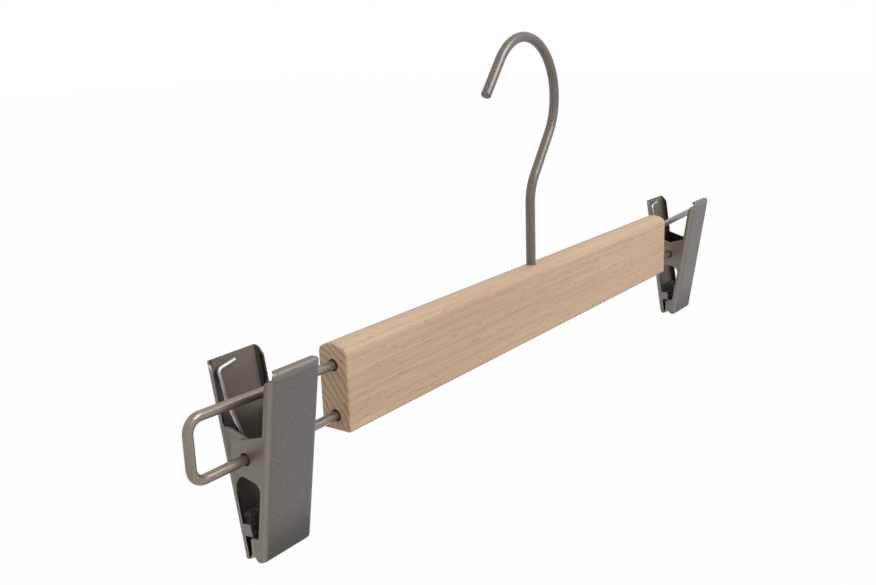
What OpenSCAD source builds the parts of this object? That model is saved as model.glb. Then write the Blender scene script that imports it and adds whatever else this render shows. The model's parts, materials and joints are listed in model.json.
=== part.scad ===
// Skirt hanger: a wooden bar on a swivel wire hook, with a wire rail at
// each end and a sprung sheet-metal clip that slides on each rail.
// +X runs along the bar, +Y to the back, +Z up. The origin is the spot on
// the inside of the hook, straight above the middle of the bar, that hangs
// on the wardrobe rail.

/* [Bar] */
// Length of the wooden bar
bar_len = 254; // [200:1:340]
// Height of the bar at the middle of its crown
bar_h = 30; // [27:0.5:45]
// Thickness of the bar, front to back
bar_t = 12; // [10:0.5:20]
// Rise of the crown above the bar's shoulders
crown_rise = 2.2; // [1:0.1:4]
// Rounding of the bar's long edges
edge_r = 0.8; // [0.4:0.1:1.2]
// Rounding of the edges round the bar's ends
end_r = 0.8; // [0.4:0.1:1.5]

/* [Hook] */
// Diameter of the hook wire
hook_d = 4; // [3:0.1:5]
// Height of the crook's centre above the crown of the bar
crook_h = 68.3; // [62:0.1:90]
// Radius of the crook, to the middle of the wire
crook_r = 24.8; // [20:0.1:27]
// Radius of the crook on its open side
tip_r = 23.1; // [18:0.1:25]
// Distance of the crook's centre from the stem's axis
crook_back = 3.8; // [0:0.1:6]
// Radius of the bend at the top of the stem
neck_r = 19; // [12:0.5:24]
// Lean of the neck away from the stem, in degrees
neck_lean = 37; // [30:1:42]
// Turn of the crook past its top, in degrees
tip_turn = 50.5; // [30:0.5:70]
// Length of the straight end of the crook
tip_len = 16.7; // [8:0.1:22]
// Diameter of the washer under the bar
washer_d = 9; // [8:0.1:10]
// Thickness of the washer
washer_t = 1; // [0.6:0.1:1.4]
// Depth of the round pocket under the bar
pocket_h = 4.5; // [4:0.1:6]
// Diameter of the hook's riveted end
rivet_d = 6.6; // [6:0.1:7.4]
// Height of the hook's riveted end
rivet_h = 1.8; // [1.2:0.1:2.2]

/* [Rails] */
// Diameter of the rail wire
rail_d = 3.2; // [2.6:0.1:3.6]
// Height of a rail's lower leg above the underside of the bar
rail_low = 5.2; // [4.5:0.1:8]
// Distance between a rail's legs where they leave the wood
rail_gap = 17.4; // [16.8:0.1:20]
// Spread of the upper leg, in degrees
rail_splay = 1.7; // [0:0.1:2.5]
// Reach of a rail past the end of the bar
rail_reach = 61; // [58:0.5:80]
// Radius of a rail's corners, to the middle of the wire
rail_bend = 4.5; // [4:0.1:6]
// Depth of a rail's legs inside the wood
rail_depth = 32; // [20:1:50]
// Widening of a rail's hole at the end of the bar
hole_play = 0.35; // [0.2:0.05:0.6]
// Depth of that widening
hole_mouth = 3; // [1:0.5:6]

/* [Clips] */
// Space between the end of the bar and a clip
clip_gap = 19.7; // [19.5:0.1:24]
// Width of a clip
clip_w = 21.3; // [19:0.1:23]
// Thickness of the sheet metal
sheet = 0.8; // [0.6:0.1:1]
// Lean of a closed jaw, in degrees
jaw_tilt = 8.7; // [7.5:0.1:9.5]
// Distance of a jaw's outer face from the pivot
jaw_reach = 9.4; // [9:0.1:10]
// Height of a jaw above the pivot
jaw_up = 30.4; // [28:0.1:36]
// Length of a jaw below the pivot
jaw_down = 33; // [31:0.5:38]
// Outer radius of the bends along a jaw's sides
side_bend = 2; // [1.4:0.1:2.2]
// Width of the narrow flanges along a jaw's sides
flange = 2.7; // [2.4:0.1:3]
// Width of the lip along a front jaw's top
lip_w = 2.2; // [2.1:0.1:2.8]
// Rounding of the flanges at a rear jaw's top
top_round = 2.4; // [1.5:0.1:2.6]
// Rounding of a jaw's upper corners, seen from the front
corner_r = 1.4; // [1:0.1:1.6]
// Radius of an ear round the pivot
ear_r = 6; // [5.6:0.1:6.4]
// Height of an ear's shoulder above the pivot
ear_up = 9.8; // [9:0.1:11]
// Radius of the corner under an ear
ear_fillet = 3; // [2:0.1:3.4]
// Radial play of the ears on the rail
pivot_play = 0.5; // [0.3:0.05:0.6]
// Space between the ears of the two jaws
side_play = 0.3; // [0.25:0.05:0.5]
// Gap between the closed gripping edges
bite_gap = 0.3; // [0.25:0.05:0.6]
// Rise of the curl towards the gripping edge, in degrees
curl_rise = 40; // [30:1:46]
// Height of the folded hem behind the gripping edge
hem_h = 5.2; // [4.6:0.1:6]
// Depth of the teeth in the hem
tooth_h = 1.3; // [0.8:0.1:1.6]
// Number of teeth in a hem
tooth_count = 4; // [3:1:6]
// Length of the square tab on a back jaw's flange
tab_h = 4.6; // [4:0.1:5]
// Depth of that tab's upper edge below the pivot
tab_low = 21.6; // [20:0.1:22]
// Cut at the upper corners of a front jaw
corner_cut = 1.2; // [1:0.1:2.2]
// Height of that cut
corner_drop = 2.4; // [2.2:0.1:4]

/* [Springs] */
// Diameter of the spring wire
spring_d = 1.5; // [1.2:0.05:1.6]
// Radius of the coil, to the middle of the wire
coil_r = 3.4; // [3.1:0.05:3.6]
// Space between two turns of the coil
turn_gap = 0.45; // [0.42:0.01:0.6]
// Whole turns of the coil
turn_count = 5; // [4:1:5]
// Height above the pivot at which an arm bends towards its jaw
arm_rest = 17.5; // [16:0.5:19]
// Space between an arm and its jaw at that bend
arm_off = 1; // [0.2:0.1:1.2]
// Height above the pivot at which an arm turns in
arm_top = 25.8; // [24:0.1:26]
// Length of an arm's turned-in end
arm_hook = 7.3; // [5:0.1:9]
// Rise of that end
arm_rise = 1; // [0:0.1:1.4]
// Lean of an arm towards the side of the clip
arm_spread = 2.9; // [1:0.1:3]

/* [Pads] */
// Depth of a pad's upper edge below the pivot
pad_low = 16.5; // [15.5:0.1:18]
// Length of a pad
pad_h = 11; // [9:0.1:11.5]
// Thickness of a pad at its upper edge
pad_thin = 1.3; // [1:0.1:1.6]
// Thickness of a pad at its lower edge
pad_thick = 2.6; // [2:0.1:2.8]
// Height of the studs on a pad
stud_h = 0.4; // [0.2:0.05:0.5]
// Diameter of the studs
stud_d = 1.5; // [1:0.1:1.8]
// Rows of studs
stud_rows = 3; // [2:1:4]
// Studs in a row
stud_count = 5; // [3:1:6]

/* [Hidden] */
$fn = 48;
arc_steps = 6;         // straight pieces in a small rounding
overrun = 1;           // cuts run this far past what they cut
fit = 0.02;            // radial room of a wire pressed into the wood
swivel_play = 0.05;    // radial room of the hook in the bar
wire_ease = 0.5;       // chamfer round the hook's tip
wire_swell = 0.03;     // radial swell of a wire where it is bent
wire_lap = 0.4;        // run of a straight wire inside the bend it meets
seat_gap = 0.1;        // room between a part and the face that it rests on
seam = 0.05;           // step between a curled edge and the flange that it runs into

// Hook: places of its bends, measured from the underside of the bar
crook_z = bar_h + crook_h;
neck_len = (crook_r * cos(neck_lean) - crook_back - neck_r * (1 - cos(neck_lean))) / sin(neck_lean);
stem_top = crook_z - crook_r * sin(neck_lean) - neck_len * cos(neck_lean) - neck_r * sin(neck_lean);
seat_z = crook_z + sqrt(pow(crook_r - hook_d / 2 - wire_swell, 2) - pow(crook_back, 2));
base_z = -seat_z;
lap_turn = asin(2 * wire_lap / tip_r);
washer_bottom = pocket_h - washer_t;
rivet_top = washer_bottom - seat_gap;

// Rails
rail_r = rail_d / 2;
rail_x = bar_len / 2 + rail_reach;
elbow_x = rail_x - rail_bend;
upper_z = rail_low + rail_gap;
upper_end_x = elbow_x - rail_bend * sin(rail_splay);
upper_end_z = upper_z + (upper_end_x - bar_len / 2) * tan(rail_splay);
upper_elbow_z = upper_end_z - rail_bend * cos(rail_splay);

// Clips, each measured from the rail's lower leg at the middle of the clip
clip_x = bar_len / 2 + clip_gap + clip_w / 2;
half = clip_w / 2;
ear_half = half - sheet - side_play;
bend_in = side_bend - sheet;
flange_in = jaw_reach - flange;
plate_in = jaw_reach - sheet;
curl_r = side_bend;
curl_mid_r = curl_r - sheet / 2;
bite_half = (bite_gap + sheet) / 2 / cos(jaw_tilt);

// Distance of the gripping edge's middle from a jaw's pivot, at a height s in the jaw's own frame
function bite_u(s) = -s * tan(jaw_tilt) + bite_half;
function turn(a, v) = [v[0] * cos(a) - v[1] * sin(a), v[0] * sin(a) + v[1] * cos(a)];
function unit(v) = v / norm(v);
function arc(c, r, a0, a1, n) = [for (i = [0:n]) c + r * [cos(a0 + (a1 - a0) * i / n), sin(a0 + (a1 - a0) * i / n)]];

// Side of a line of points, moved by w to its left, with mitred corners
function side_dir(p, i) =
    let (a = i > 0 ? unit(p[i] - p[i - 1]) : unit(p[1] - p[0]),
         b = i < len(p) - 1 ? unit(p[i + 1] - p[i]) : a,
         m = unit(a + b))
    turn(90, m) / (m * a);
function moved(p, w) = [for (i = [0:len(p) - 1]) p[i] + w * side_dir(p, i)];
function reversed(p) = [for (i = [len(p) - 1:-1:0]) p[i]];
function ribbon(p, w) = concat(moved(p, w / 2), reversed(moved(p, -w / 2)));

// Curl at the foot of a jaw, as [distance from the pivot, height]
curl_c = [jaw_reach - curl_r, -jaw_down + curl_r];
curl_out = 90 + curl_rise;
curl_end = curl_c + curl_mid_r * [cos(curl_out), -sin(curl_out)];
curl_dir = [-cos(curl_rise), sin(curl_rise)];
curl_run = (curl_end[0] - bite_u(curl_end[1])) / (cos(curl_rise) - sin(curl_rise) * tan(jaw_tilt));
bite = curl_end + curl_run * curl_dir;
hem_top = [bite_u(bite[1] + hem_h), bite[1] + hem_h];
curl_path = concat([[jaw_reach - sheet / 2, curl_c[1] + overrun]],
    arc(curl_c, curl_mid_r, 0, -curl_out, 2 * arc_steps), [bite, hem_top]);
curl_inset = moved(curl_path, seam - sheet / 2);

// Lip along the top of a front jaw
lip_c = [jaw_reach - side_bend, jaw_up - side_bend];
lip_path = concat([[jaw_reach - sheet / 2, lip_c[1] - overrun]],
    arc(lip_c, curl_mid_r, 0, 90, arc_steps),
    [[jaw_reach - lip_w, jaw_up - sheet / 2]]);
lip_inset = moved(lip_path, seam - sheet / 2);

// Springs
wire_r = spring_d / 2;
arm_u = plate_in - wire_r - seat_gap;
function jaw_point(u, s) = [u * cos(jaw_tilt) + s * sin(jaw_tilt), -u * sin(jaw_tilt) + s * cos(jaw_tilt)];
arm_low = jaw_point(arm_u - arm_off, arm_rest);
arm_high = jaw_point(arm_u, arm_top);
arm_end = jaw_point(arm_u, arm_top + arm_rise);
arm_lean = atan2(arm_low[0], arm_low[1]) - asin(coil_r / norm(arm_low));
coil_turn = 360 * turn_count + 180 - 2 * arm_lean;
coil_rings = 8;
coil_steps = ceil(coil_turn / 360 * coil_rings);
coil_w = (spring_d + turn_gap) * coil_turn / 360;
arm_bend = spring_d;   // corner of an arm's turned-in end, to the middle of the wire
corner_steps = 3;      // straight pieces in that corner
arm_dir = unit(arm_high - arm_low);
arm_side = coil_w / 2 + arm_spread;
hook_corner = arm_high - arm_bend * arm_dir;

// Route of the back arm from its tip to the coil
arm_route = concat(
    [[-arm_side + arm_hook, arm_end[0], arm_end[1]],
     [-arm_side + arm_bend + spring_d, arm_high[0], arm_high[1]]],
    [for (i = [0:corner_steps]) let (a = 90 * i / corner_steps)
        [-arm_side + arm_bend * (1 - sin(a)),
         hook_corner[0] + arm_bend * cos(a) * arm_dir[0],
         hook_corner[1] + arm_bend * cos(a) * arm_dir[1]]],
    [[-arm_side, arm_low[0], arm_low[1]]]);
coil_route = [for (i = [0:coil_steps]) let (t = i / coil_steps, a = -arm_lean - coil_turn * t)
    [coil_w * (t - 0.5), coil_r * cos(a), coil_r * sin(a)]];
spring_route = concat(arm_route, coil_route,
    [for (p = reversed(arm_route)) [-p[0], -p[1], p[2]]]);

// Tube of six sides along a route, each ring turned as little as can be
function tangent(p, i) = unit(unit(p[min(i + 1, len(p) - 1)] - p[i == len(p) - 1 ? i - 1 : i])
    + unit(p[i == 0 ? 1 : i] - p[max(i - 1, 0)]));
function square_to(v, t) = unit(v - (v * t) * t);
function normals(p, i, v) = i == len(p) ? [] :
    let (n = square_to(v, tangent(p, i))) concat([n], normals(p, i + 1, n));
sides = 6;
module tube(p, r, first) {
    n = normals(p, 0, first);
    pts = [for (i = [0:len(p) - 1]) let (b = cross(tangent(p, i), n[i]))
        for (k = [0:sides - 1]) p[i] + r * (cos(360 * k / sides) * n[i] + sin(360 * k / sides) * b)];
    last = (len(p) - 1) * sides;
    faces = concat(
        [for (i = [0:len(p) - 2]) for (k = [0:sides - 1])
            let (a = i * sides + k, b = i * sides + (k + 1) % sides) each [[a, a + sides, b + sides], [a, b + sides, b]]],
        [for (k = [1:sides - 2]) [0, k, k + 1]],
        [for (k = [1:sides - 2]) [last, last + k + 1, last + k]]);
    polyhedron(pts, faces, convexity = 10);
}

// Least gap of the spring to itself, from points on the wire's axis that
// lie more than half a turn apart
route_gaps = [for (i = [0:len(spring_route) - 1]) for (j = [i + ceil(coil_rings / 2) + 1:len(spring_route) - 1])
    if (j < len(spring_route)) norm(spring_route[i] - spring_route[j]) - spring_d];
echo(least_spring_gap = min(route_gaps));

// Places a 2D outline of [y, z] so that it stands across x
module across(w) translate([-w / 2, 0, 0]) rotate([90, 0, 90]) linear_extrude(w) children();

module at_bar() translate([0, 0, base_z]) children();
module at_clip(side) at_bar() translate([side * clip_x, 0, rail_low]) children();
module front_side() mirror([0, 1, 0]) rear_side() children();
module rear_side() rotate([-jaw_tilt, 0, 0]) children();

// Bar
crown_r = (pow(bar_t / 2, 2) + pow(crown_rise, 2)) / 2 / crown_rise;
module eased_box(l, h, r) {
    polygon(concat(
        arc([l / 2 - r, r], r, -90, 0, arc_steps),
        arc([l / 2 - r, h - r], r, 0, 90, arc_steps),
        arc([-l / 2 + r, h - r], r, 90, 180, arc_steps),
        arc([-l / 2 + r, r], r, 180, 270, arc_steps)));
}
module bar_section() {
    shoulder = bar_h - crown_rise;
    rise = asin(bar_t / 2 / crown_r);
    polygon(concat(
        arc([bar_t / 2 - edge_r, edge_r], edge_r, -90, 0, arc_steps),
        arc([bar_t / 2 - edge_r, shoulder - edge_r], edge_r, 0, 90 - rise, arc_steps),
        arc([0, bar_h - crown_r], crown_r, 90 - rise * (1 - edge_r / bar_t), 90 + rise * (1 - edge_r / bar_t), 3 * arc_steps),
        arc([-bar_t / 2 + edge_r, shoulder - edge_r], edge_r, 90 + rise, 180, arc_steps),
        arc([-bar_t / 2 + edge_r, edge_r], edge_r, 180, 270, arc_steps)));
}
module rail_hole() {
    translate([0, 0, -rail_depth]) cylinder(h = rail_depth + overrun, r = rail_r + fit);
    translate([0, 0, -hole_mouth]) cylinder(h = hole_mouth + overrun, r = rail_r + hole_play);
}
module bar() color([0.80, 0.67, 0.52]) at_bar() difference() {
    intersection() {
        across(bar_len) bar_section();
        linear_extrude(bar_h) translate([0, -bar_t / 2]) eased_box(bar_len, bar_t, end_r);
        translate([0, bar_t / 2, 0]) rotate([90, 0, 0]) linear_extrude(bar_t) eased_box(bar_len, bar_h, end_r);
    }
    translate([0, 0, -overrun]) cylinder(h = bar_h + 2 * overrun, r = hook_d / 2 + swivel_play);
    translate([0, 0, -overrun]) cylinder(h = pocket_h + overrun, d = washer_d + 2 * fit);
    for (side = [0, 1]) mirror([side, 0, 0]) {
        translate([bar_len / 2, 0, rail_low]) rotate([0, 90, 0]) rail_hole();
        translate([bar_len / 2, 0, upper_z]) rotate([0, 90 - rail_splay, 0]) rail_hole();
    }
}

// Wire, as straight pieces that run into slightly swollen bends
module wire_arc(r, d, a) rotate_extrude(angle = a) translate([r, 0]) circle(d = d);
module bend(r, d, a) wire_arc(r, d + 2 * wire_swell, a);
module straight(l, d) translate([0, 0, -wire_lap]) cylinder(h = l + 2 * wire_lap, d = d);

// Hook
module rivet() translate([0, 0, rivet_top - rivet_h]) {
    cylinder(h = rivet_h / 2, r1 = rivet_d / 2 - rivet_h / 2, r2 = rivet_d / 2);
    translate([0, 0, rivet_h / 2]) cylinder(h = rivet_h / 2, d = rivet_d);
}
module crook() translate([-crook_back, 0, crook_z]) {
    rotate([90, 0, 0]) rotate([0, 0, -neck_lean]) bend(crook_r, hook_d, 90 + neck_lean);
    translate([0, 0, crook_r - tip_r]) rotate([90, 0, 0]) rotate([0, 0, 90 - lap_turn]) {
        wire_arc(tip_r, hook_d, tip_turn + lap_turn);
        rotate([0, 0, tip_turn + lap_turn]) translate([tip_r, 0, 0]) rotate([-90, 0, 0]) tip();
    }
}
module tip() translate([0, 0, -wire_lap]) {
    cylinder(h = tip_len + wire_lap - wire_ease, d = hook_d - 2 * wire_swell);
    translate([0, 0, tip_len + wire_lap - wire_ease])
        cylinder(h = wire_ease, r1 = hook_d / 2 - wire_swell, r2 = hook_d / 2 - wire_swell - wire_ease);
}
module hook() color([0.36, 0.35, 0.33]) at_bar() {
    rivet();
    translate([0, 0, rivet_top - rivet_h / 2])
        cylinder(h = stem_top - rivet_top + rivet_h / 2 + wire_lap, d = hook_d);
    translate([neck_r, 0, stem_top]) rotate([90, 0, 0]) rotate([0, 0, 180 - neck_lean])
        bend(neck_r, hook_d, neck_lean);
    translate([neck_r * (1 - cos(neck_lean)), 0, stem_top + neck_r * sin(neck_lean)])
        rotate([0, neck_lean, 0]) straight(neck_len, hook_d);
    crook();
}
module hook_washer() color([0.55, 0.54, 0.52]) at_bar() translate([0, 0, washer_bottom]) difference() {
    cylinder(h = washer_t, d = washer_d);
    translate([0, 0, -overrun]) cylinder(h = washer_t + 2 * overrun, r = hook_d / 2 + seat_gap);
}

// Rails
module rail(side) color([0.38, 0.36, 0.34]) at_bar() mirror([side < 0 ? 1 : 0, 0, 0]) {
    translate([bar_len / 2 - rail_depth, 0, rail_low]) rotate([0, 90, 0])
        cylinder(h = elbow_x - bar_len / 2 + rail_depth + wire_lap, d = rail_d);
    translate([elbow_x, 0, rail_low + rail_bend]) rotate([90, 0, 0]) rotate([0, 0, -90])
        bend(rail_bend, rail_d, 90);
    translate([rail_x, 0, rail_low + rail_bend]) straight(upper_elbow_z - rail_low - rail_bend, rail_d);
    translate([elbow_x, 0, upper_elbow_z]) rotate([90, 0, 0]) bend(rail_bend, rail_d, 90 + rail_splay);
    translate([bar_len / 2, 0, upper_z]) rotate([0, 90 - rail_splay, 0]) translate([0, 0, -rail_depth])
        cylinder(h = rail_depth + (upper_end_x - bar_len / 2) / cos(rail_splay) + wire_lap, d = rail_d);
}
module left_rail() rail(-1);
module right_rail() rail(1);

// Jaws, drawn upright with the pivot at the origin and the plate at +Y
module channel_section(w, r, reach) {
    translate([-w, -jaw_reach]) square([2 * w, jaw_reach + reach - r]);
    translate([-w + r, 0]) square([2 * (w - r), reach]);
    for (m = [-1, 1]) translate([m * (w - r), reach - r]) circle(r = r);
}
module channel() translate([0, 0, -jaw_down]) linear_extrude(jaw_down + jaw_up) difference() {
    channel_section(half, side_bend, jaw_reach);
    channel_section(half - sheet, bend_in, plate_in);
}
module ear_outline() {
    shoulder = [flange_in, ear_up];
    reach = norm(shoulder);
    meet = atan2(shoulder[1], shoulder[0]) + acos((ear_r - seam) / reach);
    circle(r = ear_r);
    polygon([[0, 0], [jaw_reach, 0], [jaw_reach, ear_up], shoulder, (ear_r - seam) * [cos(meet), sin(meet)]]);
    translate([0, -ear_r]) square([jaw_reach, ear_r]);
    difference() {
        translate([flange_in - ear_fillet, -ear_r - ear_fillet]) square(ear_fillet);
        translate([flange_in - ear_fillet, -ear_r - ear_fillet]) circle(r = ear_fillet);
    }
}
// What lies above the curl, and under the lip or within the rounded flanges
module jaw_silhouette(front) polygon(concat([[jaw_reach, lip_c[1]], [jaw_reach, curl_c[1]]],
    [for (i = [2:len(curl_inset) - 2]) curl_inset[i]],
    front ? [[-jaw_reach, 0], [-jaw_reach, jaw_up]] : [[-jaw_reach, 0], [-jaw_reach, ear_up], [flange_in, ear_up]],
    front ? [for (i = [len(lip_inset) - 2:-1:2]) lip_inset[i]]
        : arc([flange_in + top_round, jaw_up - top_round], top_round, 180, 90, arc_steps),
    front ? [] : [[jaw_reach, jaw_up]]));
module side_outline(front) intersection() {
    jaw_silhouette(front);
    union() {
        translate([flange_in, -jaw_down]) square([flange, jaw_down + jaw_up - (front ? corner_drop : 0)]);
        translate([jaw_reach - side_bend, -jaw_down]) square([side_bend, jaw_down + jaw_up]);
        if (front) {
            ear_outline();
            polygon([[flange_in, bite[1] + hem_h - tooth_h], [jaw_reach, bite[1] + hem_h],
                [jaw_reach, -jaw_down], [0, -jaw_down], [0, bite[1]],
                [curl_inset[len(curl_inset) - 2][0], bite[1]]]);
        }
        else translate([bite_u(-tab_low - tab_h), -tab_low - tab_h]) square([flange, tab_h]);
    }
}
// Ears of a rear jaw, which step in so that they sit between the other two
module step_ear() intersection() {
    across(clip_w) union() {
        ear_outline();
        translate([flange_in - seam, -ear_r - ear_fillet]) square([flange, ear_r + ear_fillet + ear_up]);
    }
    translate([0, 0, -jaw_down]) linear_extrude(jaw_down + jaw_up) {
        translate([ear_half - sheet, -ear_r - overrun]) square([sheet, 2 * ear_r + overrun - seat_gap + seam]);
        polygon([[ear_half - sheet, ear_r - seat_gap], [ear_half, ear_r - seat_gap],
            [half - seam, flange_in + sheet], [half - seam - sheet, flange_in + sheet]]);
    }
}
// Outline of a jaw from the front, with eased or cut upper corners
module face_outline(front) {
    cut = front ? corner_cut : 0;
    r = corner_r;
    notch = front ? [[cut, -(r + corner_drop) / 2], [0, -corner_drop]] : [];
    polygon(concat(
        [[-half, -jaw_down], [half, -jaw_down]],
        [for (v = reversed(notch)) [half - v[0], jaw_up + v[1]]],
        arc([half - cut - r, jaw_up - r], r, 0, 90, arc_steps),
        arc([-half + cut + r, jaw_up - r], r, 90, 180, arc_steps),
        [for (v = notch) [-half + v[0], jaw_up + v[1]]]));
}
module hem_teeth() {
    w = 2 * (half - sheet) / tooth_count;
    for (i = [0:tooth_count - 1]) translate([-half + sheet + (i + 0.5) * w, flange_in, hem_top[1]])
        rotate([90, 0, 0]) linear_extrude(2 * flange_in)
            polygon([[-w / 2, overrun], [w / 2, overrun], [w / 2, 0], [0, -tooth_h], [-w / 2, 0]]);
}
module jaw(front) color([0.40, 0.38, 0.36]) difference() {
    intersection() {
        union() {
            intersection() {
                channel();
                across(clip_w) side_outline(front);
            }
            if (front) across(clip_w) polygon(ribbon(lip_path, sheet));
            else for (m = [0, 1]) mirror([m, 0, 0]) step_ear();
            across(clip_w - sheet) polygon(ribbon(curl_path, sheet));
        }
        translate([0, jaw_reach, 0]) rotate([90, 0, 0])
            linear_extrude(2 * jaw_reach) face_outline(front);
    }
    across(clip_w + 2 * overrun) circle(r = rail_r + pivot_play);
    hem_teeth();
}
module left_front_jaw() at_clip(-1) front_side() jaw(true);
module left_rear_jaw() at_clip(-1) rear_side() jaw(false);
module right_front_jaw() at_clip(1) front_side() jaw(true);
module right_rear_jaw() at_clip(1) rear_side() jaw(false);

// Springs
module spring(side) color([0.82, 0.82, 0.80]) at_clip(side) tube(spring_route, wire_r, [0, 1, 0]);
module left_spring() spring(-1);
module right_spring() spring(1);

// Pads, drawn as the jaws are
module pad() color([0.20, 0.20, 0.20]) {
    w = 2 * (half - side_bend);
    lean = atan((pad_thick - pad_thin) / pad_h);
    across(w) polygon([[plate_in, -pad_low], [plate_in, -pad_low - pad_h],
        [plate_in - pad_thick, -pad_low - pad_h], [plate_in - pad_thin, -pad_low]]);
    for (i = [0:stud_count - 1]) for (j = [0:stud_rows - 1])
        translate([w * ((i + 0.5) / stud_count - 0.5), plate_in - pad_thin, -pad_low])
            rotate([-lean, 0, 0]) translate([0, 0, -pad_h * (j + 0.5) / stud_rows])
                rotate([90, 0, 0]) translate([0, 0, -pad_thin / 2]) cylinder(h = pad_thin / 2 + stud_h, d = stud_d, $fn = 16);
}
module left_front_pad() at_clip(-1) front_side() pad();
module left_rear_pad() at_clip(-1) rear_side() pad();
module right_front_pad() at_clip(1) front_side() pad();
module right_rear_pad() at_clip(1) rear_side() pad();

bar();
hook();
hook_washer();
left_rail();
right_rail();
left_front_jaw();
left_rear_jaw();
left_spring();
left_front_pad();
left_rear_pad();
right_front_jaw();
right_rear_jaw();
right_spring();
right_front_pad();
right_rear_pad();
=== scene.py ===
import json
import math
import bpy
import numpy as np
from mathutils import Matrix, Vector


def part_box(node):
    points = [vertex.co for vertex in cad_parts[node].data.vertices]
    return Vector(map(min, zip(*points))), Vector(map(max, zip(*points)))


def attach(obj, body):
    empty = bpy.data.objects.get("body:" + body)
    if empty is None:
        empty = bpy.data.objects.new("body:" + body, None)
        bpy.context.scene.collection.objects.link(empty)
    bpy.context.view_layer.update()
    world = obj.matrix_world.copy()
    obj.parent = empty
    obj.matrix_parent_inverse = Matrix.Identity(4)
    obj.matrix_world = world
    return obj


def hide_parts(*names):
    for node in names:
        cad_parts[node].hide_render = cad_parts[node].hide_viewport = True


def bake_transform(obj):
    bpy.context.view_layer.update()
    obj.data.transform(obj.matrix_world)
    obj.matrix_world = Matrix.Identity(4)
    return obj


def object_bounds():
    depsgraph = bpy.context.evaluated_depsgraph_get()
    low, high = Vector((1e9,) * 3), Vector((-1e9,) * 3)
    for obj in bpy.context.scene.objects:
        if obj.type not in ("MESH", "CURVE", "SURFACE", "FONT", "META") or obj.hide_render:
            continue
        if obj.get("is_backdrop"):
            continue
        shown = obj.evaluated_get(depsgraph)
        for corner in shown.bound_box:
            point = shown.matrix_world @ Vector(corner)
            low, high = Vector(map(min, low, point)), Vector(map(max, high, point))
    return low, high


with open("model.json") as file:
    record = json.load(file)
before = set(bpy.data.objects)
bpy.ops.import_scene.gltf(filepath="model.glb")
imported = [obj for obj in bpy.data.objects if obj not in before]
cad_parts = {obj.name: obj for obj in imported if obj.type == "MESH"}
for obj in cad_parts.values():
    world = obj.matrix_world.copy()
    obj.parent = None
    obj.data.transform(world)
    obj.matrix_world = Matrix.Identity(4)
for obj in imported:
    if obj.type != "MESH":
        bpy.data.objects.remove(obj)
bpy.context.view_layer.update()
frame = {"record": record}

# Skirt hanger: a beech bar on a swivel hook, with a wire rail and a sprung clip at each end.
# Lengths are in millimetres until a mesh is written. +X runs along the bar, +Y to its back, +Z up.

scene = bpy.context.scene
mm = 0.001
tiny = 1e-6   # mm, a length that counts as none

barLow, barHigh = (np.array(c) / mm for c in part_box("bar"))
pivots = {j["name"]: np.array(j["pos_m"]) / mm
          for j in frame["record"]["behaviour"]["joints"] if "pos_m" in j}
print("frame loaded: bar", np.round(barHigh - barLow, 2), "mm")

# camera at the photograph's place

photoView = {
    "place": (-355.28, -209.09, 4.26),  # mm
    "yaw": 36.001,     # degrees from +X towards +Y
    "pitch": -14.475,  # degrees up from level
    "roll": -2.115,    # degrees
    "lens": 40.97,     # mm
    "sensor": 36,      # mm wide
    "sight": (0.01, 50),   # m, from the nearest to the farthest thing seen
}


def seated(place, right, up, look):
    # place and axes of a camera or lamp, which looks down its own -Z
    return Matrix.Translation(place) @ Matrix(np.column_stack([right, up, -look]).tolist()).to_4x4()


def aimCamera(view):
    yaw, pitch, roll = (math.radians(view[k]) for k in ("yaw", "pitch", "roll"))
    look = np.array([math.cos(pitch) * math.cos(yaw), math.cos(pitch) * math.sin(yaw), math.sin(pitch)])
    right = np.cross(look, [0, 0, 1])
    right /= np.linalg.norm(right)
    up = np.cross(right, look)
    right, up = math.cos(roll) * right + math.sin(roll) * up, math.cos(roll) * up - math.sin(roll) * right
    data = bpy.data.cameras.new("photoCamera")
    data.lens = view["lens"]
    data.sensor_width = view["sensor"]
    data.sensor_fit = "HORIZONTAL"
    data.clip_start, data.clip_end = view["sight"]
    camera = bpy.data.objects.new("photoCamera", data)
    scene.collection.objects.link(camera)
    camera.matrix_world = seated(np.array(view["place"]) * mm, right, up, look)
    scene.camera = camera


aimCamera(photoView)
print("camera placed")


# meshes from whole arrays


def gridQuads(rows, cols, wrapRows=False, wrapCols=False):
    # quad (i,j) (i,j+1) (i+1,j+1) (i+1,j) for every cell; on request the last row or column joins the first
    i, j = np.meshgrid(np.arange(rows if wrapRows else rows - 1),
                       np.arange(cols if wrapCols else cols - 1), indexing="ij")
    a, b = (i + 1) % rows, (j + 1) % cols
    return np.stack([i * cols + j, i * cols + b, a * cols + b, a * cols + j], -1).reshape(-1, 4)


def shell(points, quads, caps=()):
    # points, the corners of all faces in one row, and the number of corners of each face
    loops = np.concatenate([quads.ravel()] + [np.asarray(c) for c in caps]).astype(np.int32)
    sizes = np.array([4] * len(quads) + [len(c) for c in caps], np.int32)
    return np.asarray(points, float).reshape(-1, 3), loops, sizes


def joined(shells):
    offsets = np.cumsum([0] + [len(s[0]) for s in shells[:-1]])
    return (np.concatenate([s[0] for s in shells]),
            np.concatenate([s[1] + o for s, o in zip(shells, offsets)]),
            np.concatenate([s[2] for s in shells]))


def merged(points, quads, digits=4):
    # points at the same place, to so many decimals of a millimetre, become one
    first, back = np.unique(np.round(points, digits), axis=0, return_index=True, return_inverse=True)[1:]
    return points[first], back.reshape(-1)[quads]


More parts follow.
